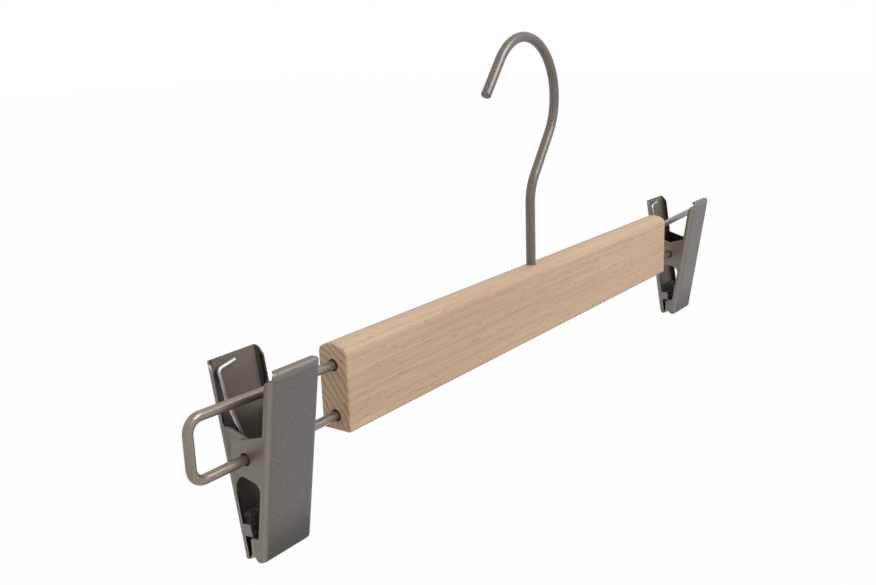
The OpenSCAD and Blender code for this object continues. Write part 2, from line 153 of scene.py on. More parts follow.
def writeMesh(name, parts, smoothAngle=35, turnedOver=False):
    points, loops, sizes = parts
    mesh = bpy.data.meshes.new(name)
    mesh.vertices.add(len(points))
    mesh.vertices.foreach_set("co", (points * mm).ravel())
    mesh.loops.add(len(loops))
    mesh.loops.foreach_set("vertex_index", loops)
    mesh.polygons.add(len(sizes))
    mesh.polygons.foreach_set("loop_start", np.concatenate([[0], np.cumsum(sizes)[:-1]]).astype(np.int32))
    mesh.update(calc_edges=True)
    mesh.validate()
    if turnedOver:
        mesh.flip_normals()
    mesh.polygons.foreach_set("use_smooth", np.ones(len(mesh.polygons), bool))
    mesh.set_sharp_from_angle(angle=math.radians(smoothAngle))
    piece = bpy.data.objects.new(name, mesh)
    scene.collection.objects.link(piece)
    return piece


def applied(piece):
    # the piece's mesh after its modifiers, as arrays; the piece itself goes
    mesh = piece.evaluated_get(bpy.context.evaluated_depsgraph_get()).to_mesh()
    points = np.empty(len(mesh.vertices) * 3)
    loops = np.empty(len(mesh.loops), np.int32)
    sizes = np.empty(len(mesh.polygons), np.int32)
    mesh.vertices.foreach_get("co", points)
    mesh.loops.foreach_get("vertex_index", loops)
    mesh.polygons.foreach_get("loop_total", sizes)
    data = piece.data
    bpy.data.objects.remove(piece)
    bpy.data.meshes.remove(data)
    return points.reshape(-1, 3) / mm, loops, sizes


def drilled(piece, cutters):
    # the piece less the closed cutters
    for cutter in cutters:
        cut = piece.modifiers.new("hole", "BOOLEAN")
        cut.operation, cut.solver, cut.object = "DIFFERENCE", "EXACT", cutter
    parts = applied(piece)
    for cutter in cutters:
        bpy.data.meshes.remove(cutter.data)
    return parts


def unit(v):
    return v / np.linalg.norm(v, axis=-1, keepdims=True)


def eased(v, low, high):
    # 3 t^2 - 2 t^3, with t going from 0 at low to 1 at high
    t = np.clip((v - low) / (high - low), 0, 1)
    return t * t * (3 - 2 * t)


def rounding(v, start, radius):
    # how far a quarter round has fallen at v past its start: radius - sqrt(radius^2 - (v - start)^2)
    return radius - np.sqrt(radius ** 2 - np.clip(v - start, 0, radius) ** 2)


def arcPoints(centre, radius, start, end, count):
    # centre + radius (cos a, sin a) for a from start to end, in degrees
    a = np.radians(np.linspace(start, end, count))
    return np.array(centre) + radius * np.column_stack([np.cos(a), np.sin(a)])


def stepsOf(line):
    # distance from each point to the next
    return np.linalg.norm(np.diff(line, axis=0), axis=1)


def runOf(line):
    # distance along the line at each of its points
    return np.concatenate([[0], np.cumsum(stepsOf(line))])


def readAt(at, run, line):
    # the line's points, or any rows of values, where their run has the values at
    return np.column_stack([np.interp(at, run, column) for column in line.T])


def evened(route, step):
    # the same line with points about one step apart
    route = route[np.concatenate([[True], stepsOf(route) > tiny])]
    run = runOf(route)
    return readAt(np.linspace(0, run[-1], max(2, int(round(run[-1] / step)) + 1)), run, route)


def densified(line, step):
    # points no further apart than a step, with every corner kept
    gaps = stepsOf(line)
    counts = np.maximum(1, np.ceil(gaps / step).astype(int))
    parts = np.concatenate([np.arange(1, n + 1) / n for n in counts])
    at = np.concatenate([[0.0], np.repeat(np.arange(len(gaps)), counts) + parts])
    return readAt(at, np.arange(len(line)), line)


def tube(route, normal, radius, sides=32):
    # route + r (cos a n + sin a t x n), with t the route's unit tangent and n the normal made square to it
    radius = np.broadcast_to(radius, len(route))
    tangent = unit(np.gradient(route, axis=0))
    normal = np.broadcast_to(normal, route.shape)
    n = unit(normal - np.sum(normal * tangent, axis=1, keepdims=True) * tangent)
    b = np.cross(tangent, n)
    a = np.linspace(0, 2 * np.pi, sides, endpoint=False)[None, :, None]
    points = route[:, None] + radius[:, None, None] * (np.cos(a) * n[:, None] + np.sin(a) * b[:, None])
    last = (len(route) - 1) * sides + np.arange(sides)
    return shell(points, gridQuads(len(route), sides, wrapCols=True), [np.arange(sides)[::-1], last])


def easedEnds(route, radius, ease, start=False, end=True, count=6):
    # near an end the wire's radius is radius - ease + ease cos(q), at stations ease (1 - sin q) from it
    q = np.linspace(0, np.pi / 2, count)
    inwards, narrowed = ease * (1 - np.sin(q)), radius - ease + ease * np.cos(q)
    run = runOf(route)
    keep = np.ones(len(run), bool)
    stations = []
    if end:
        keep &= run < run[-1] - ease
        stations.append(run[-1] - inwards)
    if start:
        keep &= run > ease
        stations.append(inwards)
    at = np.concatenate([run[keep]] + stations)
    radii = np.concatenate([np.full(keep.sum(), radius)] + [narrowed] * len(stations))
    order = np.argsort(at, kind="stable")
    return readAt(at[order], run, route), radii[order]


# shader maths: a Value is one output socket, and sums and products of values become Math nodes


class Value:

    def __init__(self, finish, socket):
        self.finish, self.socket = finish, socket

    def maths(self, operation, a, b=0.0):
        return self.finish.node("ShaderNodeMath", {"operation": operation}, {0: a, 1: b})

    def __add__(self, other):
        return self.maths("ADD", self, other)

    def __sub__(self, other):
        return self.maths("SUBTRACT", self, other)

    def __rsub__(self, other):
        return self.maths("SUBTRACT", other, self)

    def __mul__(self, other):
        return self.maths("MULTIPLY", self, other)

    __radd__, __rmul__ = __add__, __mul__

    def smooth(self, low, high):
        # 0 below low, 1 above high, an S curve between
        return self.finish.node("ShaderNodeMapRange", {"interpolation_type": "SMOOTHSTEP"},
                                {"Value": self, "From Min": low, "From Max": high})


# a material, or the world, under construction


class Finish:

    def __init__(self, name, tree=None):
        if tree is None:
            self.material = bpy.data.materials.new(name)
            self.material.use_nodes = True
            tree = self.material.node_tree
        self.tree = tree
        self.tree.nodes.clear()

    def node(self, kind, settings=None, inputs=None, output=0):
        made = self.tree.nodes.new(kind)
        for key, value in (settings or {}).items():
            if key == "stops":
                ramp = made.color_ramp
                while len(ramp.elements) < len(value):
                    ramp.elements.new(0.5)
                for element, (place, grey) in zip(ramp.elements, value):
                    element.position, element.color = place, (grey, grey, grey, 1)
            else:
                setattr(made, key, value)
        for key, value in (inputs or {}).items():
            socket = made.inputs[key]
            if isinstance(value, Value):
                self.tree.links.new(value.socket, socket)
            else:
                socket.default_value = value
        return Value(self, made.outputs[output]) if len(made.outputs) else None

    def places(self, stretch=(1, 1, 1)):
        # object coordinates in millimetres, stretched
        spot = self.node("ShaderNodeTexCoord", output="Object")
        return self.node("ShaderNodeMapping", {}, {"Vector": spot, "Scale": tuple(s / mm for s in stretch)})

    def noise(self, vector, scale, detail=3.0, rough=0.5):
        return self.node("ShaderNodeTexNoise", {},
                         {"Vector": vector, "Scale": scale, "Detail": detail, "Roughness": rough})

    def split(self, vector, axis):
        return self.node("ShaderNodeSeparateXYZ", {}, {0: vector}, axis)

    def mixed(self, share, a, b):
        a, b = (v if isinstance(v, Value) else (*v, 1) for v in (a, b))
        return self.node("ShaderNodeMix", {"data_type": "RGBA"}, {0: share, 6: a, 7: b}, 2)

    def bump(self, height, strength, distance):
        return self.node("ShaderNodeBump", {}, {"Height": height, "Strength": strength, "Distance": distance})

    def whiteForView(self):
        # 1 for what the camera sees, straight on or by gloss or glass, 0 for light that falls on the object
        rays = [self.node("ShaderNodeLightPath", output=k + " Ray")
                for k in ("Is Camera", "Is Glossy", "Is Transmission")]
        return rays[0].maths("MAXIMUM", rays[0].maths("MAXIMUM", rays[0], rays[1]), rays[2])

    def done(self, **inputs):
        body = self.node("ShaderNodeBsdfPrincipled", {}, {k.replace("_", " "): v for k, v in inputs.items()})
        self.node("ShaderNodeOutputMaterial", {}, {"Surface": body})
        return self.material


def shade(r, g, b):
    # a colour as seen on the screen, 0 to 255, turned linear
    return tuple(c / 12.92 if c <= 0.04045 else ((c + 0.055) / 1.055) ** 2.4
                 for c in (r / 255, g / 255, b / 255))


# finishes

beechLook = {
    "pale": shade(197, 171, 144),
    "deep": shade(176, 147, 118),
    "fleck": shade(132, 102, 76),
    "endPale": shade(232, 201, 170),
    "endDark": shade(164, 131, 104),
    "heart": (33.0, -30.0),   # middle of the rings, to the back and up from the bar's middle
    "ringGap": 2.3,           # mm between two growth rings
    "endFrom": 126.6,         # end grain shows past this distance from the middle
    "endOver": 0.25,          # mm in which the side gives way to it
    "ringStops": [(0.0, 0.0), (0.4, 0.35), (0.72, 1.0), (1.0, 0.0)],   # place in a ring, share of late wood
    "driftBy": 5.0, "waverBy": 1.0,           # mm that slow and quick waves push the rings
    # waves per mm, along the bar and across it
    "drift": (0.012, 0.10), "waver": (0.05, 0.45), "flecks": (0.22, 1.9),
    "fine": (0.14, 3.6), "streaks": (0.012, 1.0), "broad": (0.010, 0.08),
}


def beech(look):
    f = Finish("beech")

    def grain(key, detail, rough=0.5):
        along, across = look[key]
        return f.noise(f.places((along, across, across)), 1.0, detail, rough)

    spot = f.places()
    x, y, z = (f.split(spot, k) for k in range(3))
    middle = (barLow[2] + barHigh[2]) / 2
    toBack, above = y - look["heart"][0], z - (middle + look["heart"][1])
    # growth rings: the distance from their heart, pushed to and fro, over the gap between two of them
    radius = f.node("ShaderNodeMath", {"operation": "SQRT"}, {0: toBack * toBack + above * above})
    pushed = radius + look["driftBy"] * grain("drift", 2.0) + look["waverBy"] * grain("waver", 2.0)
    ring = f.node("ShaderNodeMath", {"operation": "FRACT"}, {0: pushed * (1 / look["ringGap"])})
    ramp = f.node("ShaderNodeValToRGB", {"stops": look["ringStops"]}, {0: ring})
    late = f.node("ShaderNodeRGBToBW", {}, {0: ramp})
    fromMiddle = f.node("ShaderNodeMath", {"operation": "ABSOLUTE"}, {0: x})
    atEnd = fromMiddle.smooth(look["endFrom"], look["endFrom"] + look["endOver"])
    flecks = grain("flecks", 1.0).smooth(0.62, 0.74)
    fine = grain("fine", 3.0, 0.6)
    streaks = grain("streaks", 3.0, 0.6).smooth(0.32, 0.68)
    patches = grain("broad", 2.0).smooth(0.3, 0.7)
    tone = 0.2 * late + 0.5 * streaks + 0.3 * patches + 0.6 * (fine - 0.5)
    side = f.mixed(0.45 * flecks, f.mixed(tone, look["pale"], look["deep"]), look["fleck"])
    pores = f.noise(spot, 2.6, 2.0).smooth(0.35, 0.7)
    end = f.mixed(0.62 * late + 0.2 * pores + 0.2 * patches, look["endPale"], look["endDark"])
    colour = f.mixed(atEnd, side, end)
    height = 0.5 * fine - 0.6 * flecks + 0.2 * late
    rough = 0.52 + 0.12 * fine + 0.15 * atEnd
    return f.done(Base_Color=colour, Roughness=rough, Normal=f.bump(height, 0.22, 0.0001),
                  Specular_IOR_Level=0.3)


hookLook = {"plain": shade(120, 112, 104), "dark": shade(98, 89, 81), "rubbedAndSheen": shade(150, 141, 130),
            "metal": 0.6, "rough": 0.36}
railLook = {"plain": shade(146, 136, 125), "dark": shade(118, 107, 96), "rubbedAndSheen": shade(180, 169, 155),
            "metal": 0.68, "rough": 0.33}
# sheet colours: plain and dark are the steel's own tarnish; side is painted light on the walls; inside, rim
# and foot are painted shade; rubbed is a painted highlight here and random wear on the wires above
sheetLook = {"plain": shade(119, 115, 109), "dark": shade(90, 87, 82), "rubbedAndSheen": shade(164, 154, 141),
             "side": shade(136, 129, 118), "inside": shade(113, 103, 93), "rim": shade(52, 46, 41),
             "foot": shade(60, 57, 52), "metal": 0.75, "rough": 0.43}


def agedWire(name, look):
    f = Finish(name)
    spot = f.places()
    grain = f.noise(spot, 2.4, 4.0, 0.65)
    cloud = f.noise(spot, 0.35, 3.0, 0.55)
    tarnish = 0.45 * grain.smooth(0.35, 0.65) + 0.25 * cloud.smooth(0.3, 0.7)
    rubAndSheen = f.noise(spot, 1.3, 3.0, 0.6).smooth(0.5, 0.75)
    colour = f.mixed(0.2 * rubAndSheen, f.mixed(tarnish, look["plain"], look["dark"]), look["rubbedAndSheen"])
    rough = look["rough"] + 0.2 * (grain - 0.5) - 0.04 * rubAndSheen
    return f.done(Base_Color=colour, Metallic=look["metal"], Roughness=rough,
                  Normal=f.bump(grain, 0.16, 0.00008))


def agedAndShadedSheet(name, look):
    # sheetPlace holds, in millimetres, the run in from the sheet's outer side, the depth behind the jaw's
    # face (-1 all over a lip) and the height; the masks below use it to paint light and shade on the sheet
    f = Finish(name)
    spot = f.places()
    grain = f.noise(spot, 2.3, 4.0, 0.72)
    speck = f.noise(spot, 6.5, 2.0, 0.5)
    wear = f.noise(spot, 0.9, 3.0, 0.6)
    place = f.node("ShaderNodeAttribute", {"attribute_name": "sheetPlace"}, output="Vector")
    fromSide, depth, height = (f.split(place, k) for k in range(3))
    tarnish = 0.75 * grain.smooth(0.36, 0.66) + 0.3 * speck.smooth(0.45, 0.7)
    colour = f.mixed(tarnish, look["plain"], look["dark"])
    # painted shade: a darker foot of the plate
    foot = (1 - height.smooth(-34.0, -14.0)) * (1 - depth.smooth(0.05, 0.7)) * fromSide.smooth(0.8, 2.2)
    colour = f.mixed(0.8 * foot, colour, look["foot"])
    # painted light: a paler wall
    wall = (1 - fromSide.smooth(0.3, 1.0)) * depth.smooth(0.3, 1.2)
    colour = f.mixed(0.75 * wall, colour, look["side"])
    # painted shade: the inside, with a darker painted shadow band beside the walls
    within = depth.smooth(0.45, 0.8) * fromSide.smooth(0.45, 0.78)
    colour = f.mixed(0.8 * within, colour, look["inside"])
    colour = f.mixed(0.8 * (within * (1 - fromSide.smooth(1.7, 2.3))), colour, look["rim"])
    # painted highlights, made patchy by a wear noise: the side bends, the sheet's cut edge up to its rim, and
    # the lip
    bend = (1 - fromSide.smooth(0.6, 1.5)) * (1 - depth.smooth(0.6, 1.5)) * depth.smooth(-0.5, 0.0)
    cut = fromSide.smooth(0.08, 0.25) * (1 - fromSide.smooth(0.62, 0.75)) * depth.smooth(2.2, 2.5)
    # painted shade: the cut edge's rim is darkened
    rim = cut * (1 - depth.smooth(2.72, 2.8))
    lip = 1 - depth.smooth(-0.9, -0.6)
    rubAndSheen = (0.5 * bend + 0.55 * (cut - rim) + 0.2 * lip) * (0.8 * wear + 0.45)
    colour = f.mixed(0.85 * rim, f.mixed(rubAndSheen, colour, look["rubbedAndSheen"]), look["rim"])
    rough = look["rough"] + 0.24 * (grain - 0.5) - 0.08 * rubAndSheen + 0.06 * within
    return f.done(Base_Color=colour, Metallic=look["metal"], Roughness=rough,
                  Normal=f.bump(grain, 0.22, 0.00008))


zincLook = {"bright": shade(178, 178, 172), "dull": shade(138, 140, 136), "metal": 0.95, "rough": 0.28}


def zincPlate(look):
    f = Finish("zincPlate")
    grain = f.noise(f.places(), 3.0, 3.0, 0.6)
    cloud = f.noise(f.places(), 0.6, 2.0)
    bloom = 0.5 * cloud.smooth(0.4, 0.7) + 0.2 * grain.smooth(0.45, 0.7)
    return f.done(Base_Color=f.mixed(bloom, look["bright"], look["dull"]), Metallic=look["metal"],
                  Roughness=look["rough"] + 0.14 * grain)


rubberLook = {"dark": shade(66, 64, 59), "dusty": shade(136, 132, 122), "rough": 0.6}


def padRubber(look):
    f = Finish("padRubber")
    grain = f.noise(f.places(), 4.0, 4.0, 0.7)
    dust = 0.65 * f.noise(f.places(), 0.75, 3.0).smooth(0.4, 0.65) + 0.2 * grain.smooth(0.5, 0.7)
    colour = f.mixed(dust, look["dark"], look["dusty"])
    return f.done(Base_Color=colour, Roughness=look["rough"] + 0.2 * grain,
                  Normal=f.bump(grain, 0.3, 0.0001))


beechWood = beech(beechLook)
hookSteel = agedWire("hookSteel", hookLook)
railSteel = agedWire("railSteel", railLook)
clipSteel = agedAndShadedSheet("clipSteel", sheetLook)
springZinc = zincPlate(zincLook)
rubber = padRubber(rubberLook)
print("finishes made")


def dress(piece, material, body, slot, *nodes):
    piece.data.materials.clear()
    piece.data.materials.append(material)
    if body:
        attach(piece, body)
    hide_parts(*nodes)


# bar

barShape = {
    "crownRise": 2.2,    # of the crown above the shoulders
    "shoulder": 2.5,     # rounding between the crown and a side
    "edge": 1.0,         # rounding of the lower edges
    "endEdge": 0.6,      # rounding round the ends
    "railLow": 5.2,      # lower rail leg above the underside
    "railGap": 17.4,     # between a rail's legs at the wood
    "railSplay": 1.7,    # degrees
    "railWire": 3.2,
    "railRoom": 0.02,    # round a leg in its hole
    "railDepth": 32.0,
    "holePlay": 0.5,     # round a leg in the hole's wider mouth
    "mouthDepth": 3.0,
    "hookWire": 4.0,
    "hookRoom": 0.05,    # round the hook in its hole
    "pocketWidth": 9.04,
    "pocketDepth": 4.5,
    "overrun": 2.0,      # of a cutter past the wood
    "around": 200, "along": 60,   # points round the section, and sections between the ends
}


def barSection(shape, width, height, count):
    # lower corners a quarter round, straight sides, and a crown arc that a smaller arc joins to each side
    half, r, edge = width / 2, shape["shoulder"], shape["edge"]
    crown = (half ** 2 + shape["crownRise"] ** 2) / 2 / shape["crownRise"]
    up = math.sqrt((crown - r) ** 2 - (half - r) ** 2)
    turn = math.degrees(math.atan2(up, half - r))
    right = np.concatenate([arcPoints((half - edge, edge), edge, -90, 0, 9),
                            arcPoints((half - r, height - crown + up), r, 0, turn, 15)])
    top = arcPoints((0, height - crown), crown, turn, 180 - turn, 25)
    loop = np.concatenate([right, top[1:-1], right[::-1] * [-1, 1], right[:1]])
    return evened(loop, stepsOf(loop).sum() / count)[:-1]


def rod(start, end, radius, sides=40):
    # a straight round cutter
    route = np.linspace(start, end, 3).astype(float)
    normal = (0, 1, 0) if abs(end[1] - start[1]) < tiny else (1, 0, 0)
    return tube(route, np.array(normal, float), radius, sides)


def buildBar(shape):
    size = barHigh - barLow
    section = barSection(shape, size[1], size[2], shape["around"])
    tangent = unit(np.roll(section, -1, 0) - np.roll(section, 1, 0))
    outward = np.column_stack([tangent[:, 1], -tangent[:, 0]])
    # rings along the bar; near an end the section moves in by e (1 - cos q) at e (1 - sin q) from the end
    e, q = shape["endEdge"], np.linspace(0, np.pi / 2, 7)
    x = size[0] / 2 - e * (1 - np.sin(q[::-1]))
    between = np.linspace(-size[0] / 2 + e, size[0] / 2 - e, shape["along"])[1:-1]
    stations = np.concatenate([-x, between, x[::-1]])
    inset = np.interp(np.abs(stations), x[::-1], e * (1 - np.cos(q)))
    ring = section[None] - inset[:, None, None] * outward[None]
    points = np.concatenate([np.broadcast_to(stations[:, None, None], ring.shape[:2] + (1,)), ring], -1)
    points[..., 2] += barLow[2]
    count = len(section)
    last = (len(stations) - 1) * count + np.arange(count)
    quads = gridQuads(len(stations), count, wrapCols=True)[:, ::-1]
    bar = writeMesh("barBlank", shell(points, quads, [np.arange(count), last[::-1]]))
    # a narrow and a wide cutter for each rail's leg, and the hook's hole with the washer's pocket
    end, low = size[0] / 2, barLow[2] + shape["railLow"]
    high, slope = low + shape["railGap"], math.tan(math.radians(shape["railSplay"]))
    past, r = shape["overrun"], shape["railWire"] / 2
    bores = ((shape["railDepth"], r + shape["railRoom"]), (shape["mouthDepth"], r + shape["holePlay"]))
    cuts = []
    for side in (-1, 1):
        for z, rise in ((low, 0.0), (high, slope)):
            for depth, radius in bores:
                start = np.array([side * (end - depth), 0, z - rise * depth])
                stop = np.array([side * (end + past), 0, z + rise * past])
                cuts.append(rod(start, stop, radius))
    under, pocketTop = barLow[2] - past, barLow[2] + shape["pocketDepth"]
    cuts.append(rod([0, 0, under], [0, 0, barHigh[2] + past], shape["hookWire"] / 2 + shape["hookRoom"]))
    cuts.append(rod([0, 0, under], [0, 0, pocketTop], shape["pocketWidth"] / 2))
    parts = drilled(bar, [writeMesh("hole%d" % k, c) for k, c in enumerate(cuts)])
    dress(writeMesh("beechBar", parts, smoothAngle=30), beechWood, "bar", "beech", "bar")


buildBar(barShape)
print("bar made")

# hook and washer

hookShape = {
    "wire": 4.0,
    "crookHeight": 98.3,   # of the crook's centre above the bar's underside
    "crookRadius": 24.8,
    "tipRadius": 23.1,
    "crookBack": 3.8,
    "neckRadius": 19.0,
    "neckLean": 37.0,      # degrees
    "tipTurn": 50.5,       # degrees
    "tipLength": 16.7,
    "tipEase": 0.7,
    "step": 0.6,           # between two points of the route
    "rivetWidth": 6.6,
    "rivetHeight": 1.8,
    "rivetTop": 3.4,
    "rivetBulge": 0.9,     # of the head's underside
    "rivetEase": 0.25,     # of its upper edge
    "rivetPole": 0.05,     # radius left at the lowest point
    "sunk": 0.3,           # of the wire's lower end in the head
    "washerWidth": 9.0,
    "washerThick": 1.0,
    "washerRoom": 0.1,     # over the head and round the wire
    "washerEase": 0.15,
}


def hookRoute(h):
    # straight stem, arc into the neck, straight neck, two arcs of the crook and a straight tip, all at y = 0
    lean = math.radians(h["neckLean"])
    rest = h["crookRadius"] * math.cos(lean) - h["crookBack"] - h["neckRadius"] * (1 - math.cos(lean))
    neck = rest / math.sin(lean)
    stem = h["crookHeight"] - (h["crookRadius"] + h["neckRadius"]) * math.sin(lean) - neck * math.cos(lean)
    turnEnd = 90 + h["tipTurn"]
    crook = arcPoints((-h["crookBack"], h["crookHeight"]), h["crookRadius"], -h["neckLean"], 90, 90)
    tipMiddle = (-h["crookBack"], h["crookHeight"] + h["crookRadius"] - h["tipRadius"])
    tip = arcPoints(tipMiddle, h["tipRadius"], 90, turnEnd, 50)
    a = math.radians(turnEnd)
    end = tip[-1] + h["tipLength"] * np.array([-math.sin(a), math.cos(a)])
    flat = np.concatenate([[[0, h["rivetTop"] - h["sunk"]]], [[0, stem]],
                           arcPoints((h["neckRadius"], stem), h["neckRadius"], 180, 180 - h["neckLean"], 30),
                           crook, tip[1:], [end]])
    flat = evened(flat, h["step"])
    return np.column_stack([flat[:, 0], np.zeros(len(flat)), flat[:, 1] + barLow[2]])


def turned(profile, sides=64):
    # a closed profile of (radius, height) carried round the upright axis
    a = np.linspace(0, 2 * np.pi, sides, endpoint=False)[:, None]
    r, z = profile[:, 0][None], profile[:, 1][None]
    points = np.stack(np.broadcast_arrays(r * np.cos(a), r * np.sin(a), z), -1)
    return shell(points, gridQuads(sides, len(profile), wrapRows=True, wrapCols=True))


def buildHook(h):
    route, radius = easedEnds(hookRoute(h), h["wire"] / 2, h["tipEase"])
    wire = tube(route, np.array([0.0, 1, 0]), radius, 40)
    top, width, ease = h["rivetTop"] + barLow[2], h["rivetWidth"] / 2, h["rivetEase"]
    # the riveted head is a disc whose underside bulges down as a quarter cosine
    q = np.linspace(0, np.pi / 2, 10)
    dome = np.column_stack([width * np.sin(q), top - h["rivetHeight"] + h["rivetBulge"] * (1 - np.cos(q))])
    headRoute = np.array([[0, 0, z] for z in np.append(dome[:, 1], [top - ease, top])])
    headRadius = np.append(np.maximum(dome[:, 0], h["rivetPole"]), [width, width - ease])
    hook = joined([wire, tube(headRoute, np.array([0.0, 1, 0]), headRadius, 40)])
    dress(writeMesh("hookWire", hook, smoothAngle=40), hookSteel, "hook", "hook_wire", "hook")
    low, hole = top + h["washerRoom"], h["wire"] / 2 + h["washerRoom"]
    w, high, e = h["washerWidth"] / 2, low + h["washerThick"], h["washerEase"]
    ring = np.array([[hole, low], [w - e, low], [w, low + e], [w, high - e], [w - e, high], [hole, high]])
    washer = writeMesh("pocketWasher", turned(ring), smoothAngle=40)
    dress(washer, springZinc, "bar", "washer", "hook_washer")


buildHook(hookShape)
print("hook and washer made")

# rails

railShape = {
    "wire": 3.2,
    "low": 5.2,       # lower leg above the bar's underside
    "gap": 17.4,
    "splay": 1.7,     # degrees
    "reach": 61.0,
    "bend": 4.5,
    "depth": 32.0,
    "step": 0.5,      # between two points of the route
}


def railRoute(r, side):
    # lower leg, two quarter rounds with a riser between, and the splayed upper leg, in the plane y = 0
    end = barHigh[0]
    elbow, lean = end + r["reach"] - r["bend"], math.radians(r["splay"])
    high = r["low"] + r["gap"]
    topX = elbow - r["bend"] * math.sin(lean)
    upper = high + (topX - end) * math.tan(lean) - r["bend"] * math.cos(lean)
    inner = [end - r["depth"], high - r["depth"] * math.tan(lean)]
    flat = np.concatenate([[[end - r["depth"], r["low"]]],
                           arcPoints((elbow, r["low"] + r["bend"]), r["bend"], -90, 0, 14),
                           arcPoints((elbow, upper), r["bend"], 0, 90 + r["splay"], 14), [inner]])
    flat = evened(flat, r["step"])
    return np.column_stack([side * flat[:, 0], np.zeros(len(flat)), flat[:, 1] + barLow[2]])


for side, name in ((-1, "left"), (1, "right")):
    wire = tube(railRoute(railShape, side), np.array([0.0, 1, 0]), railShape["wire"] / 2, 32)
    dress(writeMesh(name + "RailWire", wire, smoothAngle=40), railSteel, "bar", "rail_wire", name + "_rail")
print("rails made")

# clips; a jaw is worked out in its own x, distance from the pivot and height, then tilted on to the pivot

clipShape = {
    "width": 21.3, "sheet": 0.8, "sidePlay": 0.3,
    "tilt": 8.7,           # degrees, of a closed jaw
    "reach": 9.4,          # outer face from the pivot
    "up": 30.4, "down": 33.0,
    "bend": 2.0,           # outer radius of the bends and the curl
    "flange": 2.7, "lip": 2.2,
    "ear": 6.0, "earUp": 9.8, "fillet": 3.0,
    "bore": 2.1,
    "biteGap": 0.3, "curlRise": 40.0,
    "hem": 5.2, "tooth": 1.3, "teeth": 4,
    # a rear jaw's tab: place, height and run past the middle
    "tabLow": 21.0, "tab": 3.9, "tabPast": 0.9,
    # lower end of the opening between a front jaw's ear and its foot
    "windowLow": 25.1, "windowRound": 0.95,
    # notch and rounding of the lip's end, seen from the front
    "cut": 1.2, "drop": 2.4, "corner": 1.4,
    # outer radius of the lip's own bend, and room at its plain end
    "lipBend": 1.6, "lipShort": 0.6,
    # top of a rear jaw, and its corners seen from the front
    "rearUp": 30.05, "rearCorner": 1.4,
    # rounding of the flanges' upper ends, and the height in which a wall gives way to it
    "frontRound": 2.0, "rearRound": 2.6, "topFade": 5.0,
    # a rear ear steps out to the flange between these distances, and below and above between these heights
    "stepFrom": 5.85, "stepTo": 7.35, "stepLow": (-10.4, -9.2), "stepHigh": (9.8, 11.2),
    # share of the side bend's rounding that the curl's ends lose, and in how many degrees
    "cornerLost": 0.8, "cornerTurn": 80.0,
    "cheekTurn": 110.0,    # degrees for which a rear jaw's side wall follows its curl
    "climb": 0.1,          # of a free edge where it looks level
    "short": 0.05,         # by which a side wall stays clear of another sheet's face
    "rowStep": 0.7,        # between two rows of a jaw's mesh
}


def biteReach(c, height):
    # distance of the gripping edge's middle from the pivot: half the gap and sheet, less height x tan(tilt)
    tilt = math.radians(c["tilt"])
    return -height * math.tan(tilt) + (c["biteGap"] + c["sheet"]) / 2 / math.cos(tilt)


def gripReach(c, height):
    # a front jaw's side wall ends just short of the gripping sheet's inner face
    return biteReach(c, height) - c["sheet"] / 2 + c["short"]


def biteEdge(c):
    # (distance, height) at which the sheet's middle, straight on from its curl, reaches the bite
    r, rise = c["bend"] - c["sheet"] / 2, math.radians(c["curlRise"])
    centre, turn = np.array([c["reach"] - c["bend"], -c["down"] + c["bend"]]), -90 - c["curlRise"]
    curlEnd = arcPoints(centre, r, turn, turn, 1)[0]
    slope = math.cos(rise) - math.sin(rise) * math.tan(math.radians(c["tilt"]))
    run = (curlEnd[0] - biteReach(c, curlEnd[1])) / slope
    return curlEnd + run * np.array([-math.cos(rise), math.sin(rise)])


def sideOutline(c, front):
    # free edge of a side wall from foot to top: (distance from the pivot, height). It climbs all the way, by
    # a rise where it looks level, so that the level rows from it never fold over one another
    inner, rise = c["reach"] - c["flange"], c["climb"]
    foot = -c["down"] + c["bend"]
    if front:
        low, r = -c["windowLow"], c["windowRound"]
        start = np.concatenate([[[gripReach(c, s), s] for s in (foot, low - rise)],
                                arcPoints((inner - r, low + r), r, -90, 0, 8)])
    else:
        low, high = -c["tabLow"] - c["tab"], -c["tabLow"]
        reach = biteReach(c, low) - c["tabPast"]
        start = [[inner, foot], [inner, low - rise], [reach, low], [reach, high - rise], [inner, high]]
    shoulder = np.array([inner, c["earUp"]])
    meet = math.degrees(math.atan2(shoulder[1], shoulder[0]) + math.acos(c["ear"] / np.linalg.norm(shoulder)))
    top = c["up"] - c["drop"] if front else c["rearUp"]
    fillet = (inner - c["fillet"], -c["ear"] - c["fillet"] - rise)
    return np.concatenate([start, arcPoints(fillet, c["fillet"], 0, 90, 10),
                           arcPoints((0, 0), c["ear"], 270, meet, 34), [shoulder], [[inner, top]]])


def setIn(c, u, s):
    # how far a rear jaw's ears stand in: the sheet and the play, on the pivot's side of the step
    beside = eased(s, *c["stepLow"]) * (1 - eased(s, *c["stepHigh"]))
    return (c["sheet"] + c["sidePlay"]) * (beside * (1 - eased(u, c["stepFrom"], c["stepTo"])))


